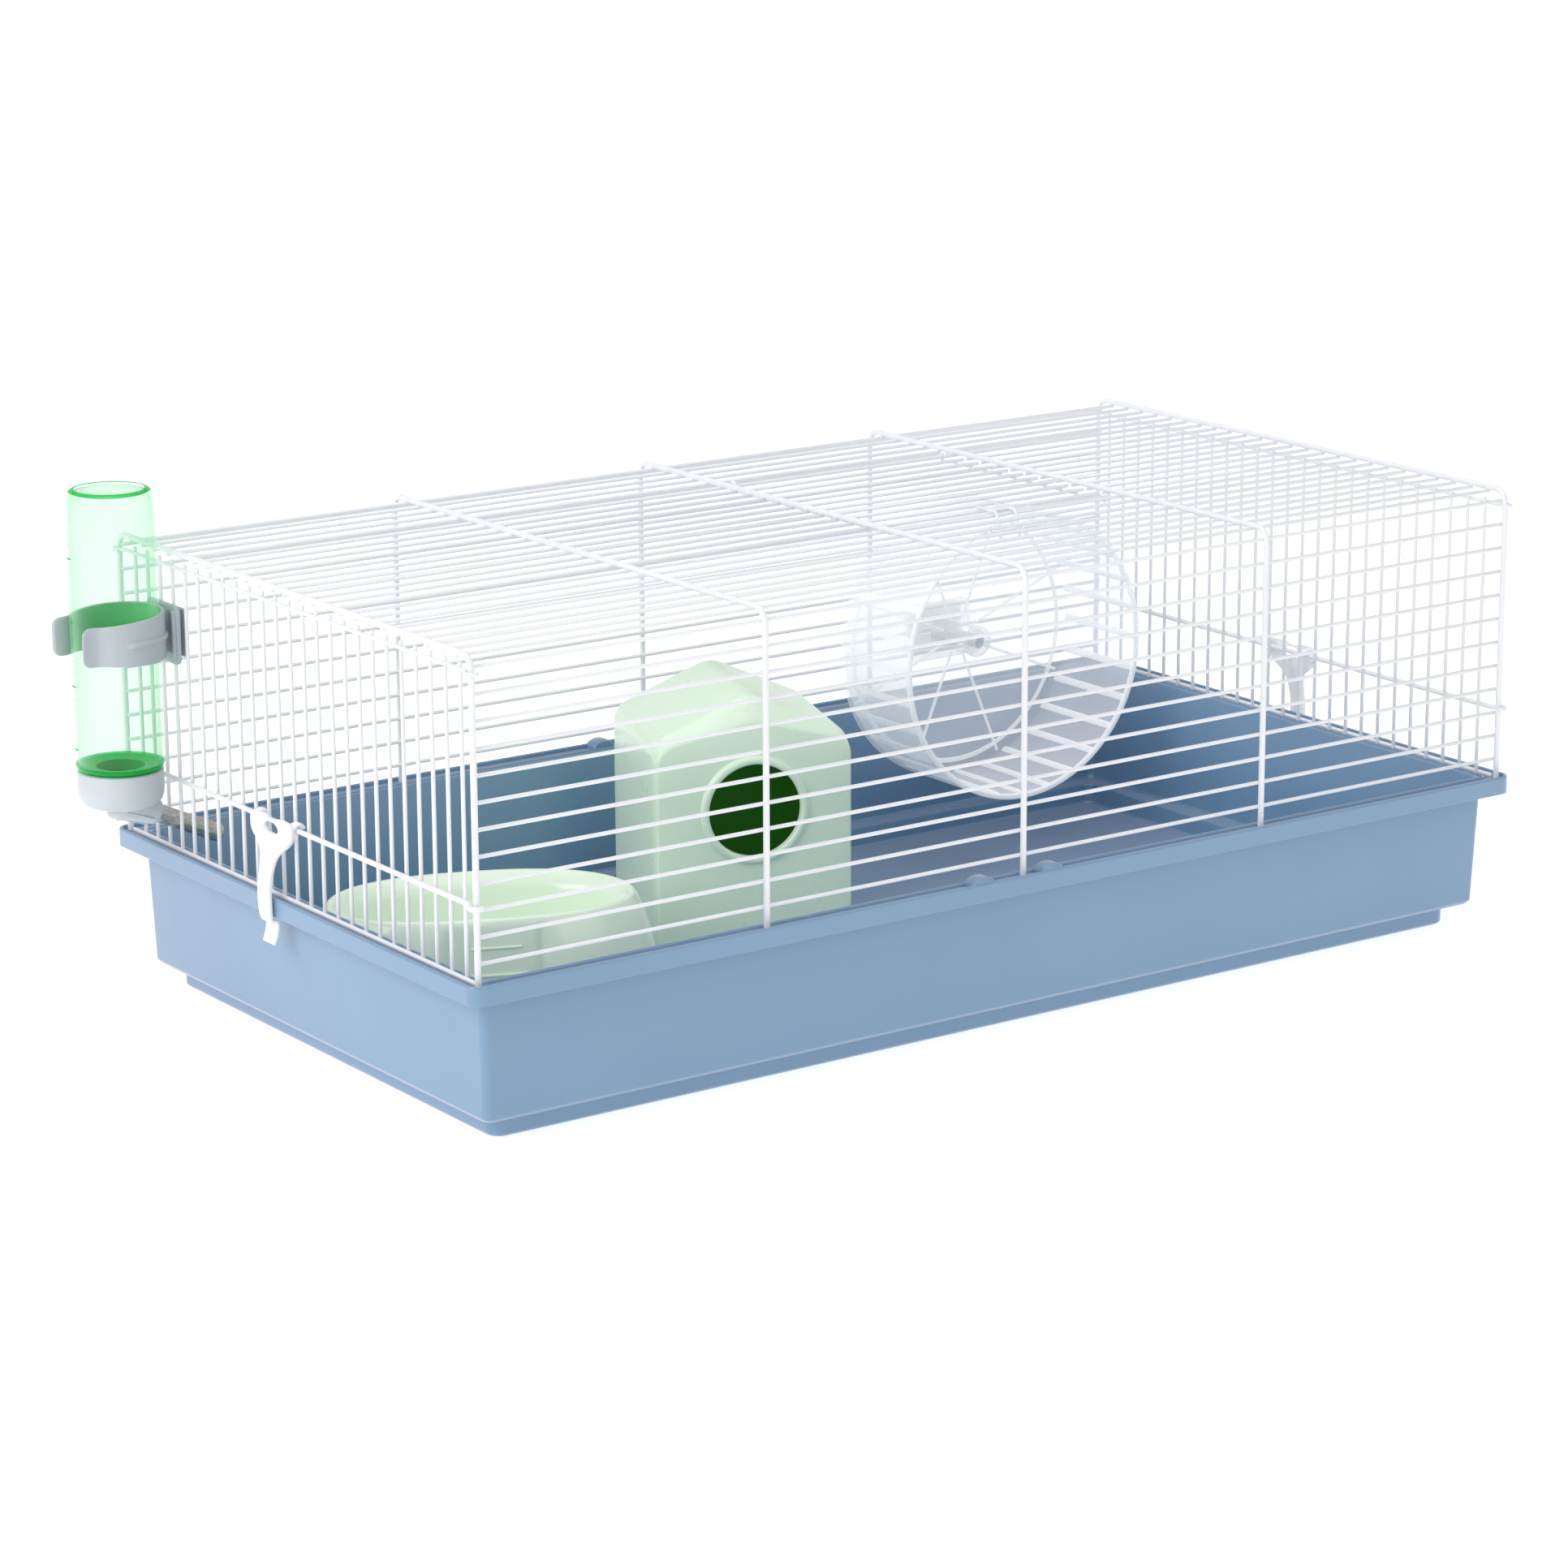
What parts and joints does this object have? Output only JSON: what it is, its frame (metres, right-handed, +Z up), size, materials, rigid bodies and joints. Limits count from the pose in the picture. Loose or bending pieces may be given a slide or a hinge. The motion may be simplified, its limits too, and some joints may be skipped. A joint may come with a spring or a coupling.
{
  "type": "hamster cage",
  "caption": "Small-animal cage: moulded tray, wire top with roof door and swing clips, drinking bottle, wheel, house and food bowl.",
  "frame": {"origin": "centre of the tray's underside, where the cage rests", "axes": "+X along the length towards the end with the wheel, +Y towards the back wall, +Z up"},
  "size_m": [0.6296, 0.3146, 0.2427],
  "materials": {
    "tray_blue": "moulded blue polypropylene, satin",
    "white_enamel": "white epoxy coat over steel wire",
    "white_enamel_door": "white epoxy coat over steel wire",
    "clip_white": "moulded white plastic",
    "holder_grey": "moulded grey plastic",
    "cap_grey": "moulded pale grey plastic",
    "bottle_green": "clear green blown plastic",
    "mint_plastic": "translucent mint green plastic",
    "mint_bowl": "glossy mint green plastic",
    "clear_plastic": "clear moulded plastic",
    "steel": "polished stainless steel",
    "seal_rubber": "soft pale washer"
  },
  "bodies": {
    "tray": {"base_tray": "tray_blue"},
    "cage_top": {"front_grille": "white_enamel", "back_grille": "white_enamel", "roof_front": "white_enamel", "roof_rear": "white_enamel", "roof_left": "white_enamel", "roof_right": "white_enamel", "left_end_panel": "white_enamel", "right_end_panel": "white_enamel", "bottle_holder": "holder_grey", "bottle_cap": "cap_grey", "bottle_seal": "seal_rubber", "sipper_tube": "steel", "wheel_bracket": "cap_grey", "wheel_axle": "steel", "wheel_cap": "cap_grey", "wheel_spacer": "cap_grey"},
    "door": {"roof_door": "white_enamel_door", "door_latch": "white_enamel_door"},
    "clip_left": {"left_clip": "clip_white"},
    "clip_right": {"right_clip": "clip_white"},
    "bottle": {"bottle": "bottle_green"},
    "ball": {"sipper_ball": "steel"},
    "wheel": {"wheel_drum": "clear_plastic"},
    "house": {"house": "mint_plastic"},
    "bowl": {"food_bowl": "mint_bowl"}
  },
  "joints": [
    {"name": "cage_lift", "type": "slide", "parent": "tray", "child": "cage_top", "axis": [0, 0, 1], "range_m": [0, 0.16]},
    {"name": "door_hinge", "type": "hinge", "parent": "cage_top", "child": "door", "pos_m": [0.0676, 0.08158, 0.2107], "axis": [-1, 0, 0], "range_deg": [0, 165]},
    {"name": "clip_left_hinge", "type": "hinge", "parent": "cage_top", "child": "clip_left", "pos_m": [-0.285, 0.01165, 0.1071], "axis": [0, 1, 0], "range_deg": [0, 45]},
    {"name": "clip_right_hinge", "type": "hinge", "parent": "cage_top", "child": "clip_right", "pos_m": [0.285, 0, 0.1071], "axis": [0, -1, 0], "range_deg": [0, 45]},
    {"name": "bottle_turn", "type": "hinge", "parent": "cage_top", "child": "bottle", "pos_m": [-0.31, 0.11071, 0.12], "axis": [0, 0, 1], "range_deg": [0, 540]},
    {"name": "ball_push", "type": "slide", "parent": "cage_top", "child": "ball", "axis": [-0.9048, 0, 0.4258], "range_m": [0, 0.0012]},
    {"name": "wheel_spin", "type": "hinge", "parent": "cage_top", "child": "wheel", "pos_m": [0.1773, 0.1, 0.1052], "axis": [0, 1, 0], "continuous": true},
    {"name": "house_lift", "type": "slide", "parent": "tray", "child": "house", "axis": [0, 0, 1], "range_m": [0, 0.07]},
    {"name": "bowl_lift", "type": "slide", "parent": "tray", "child": "bowl", "axis": [0, 0, 1], "range_m": [0, 0.08]}
  ]
}
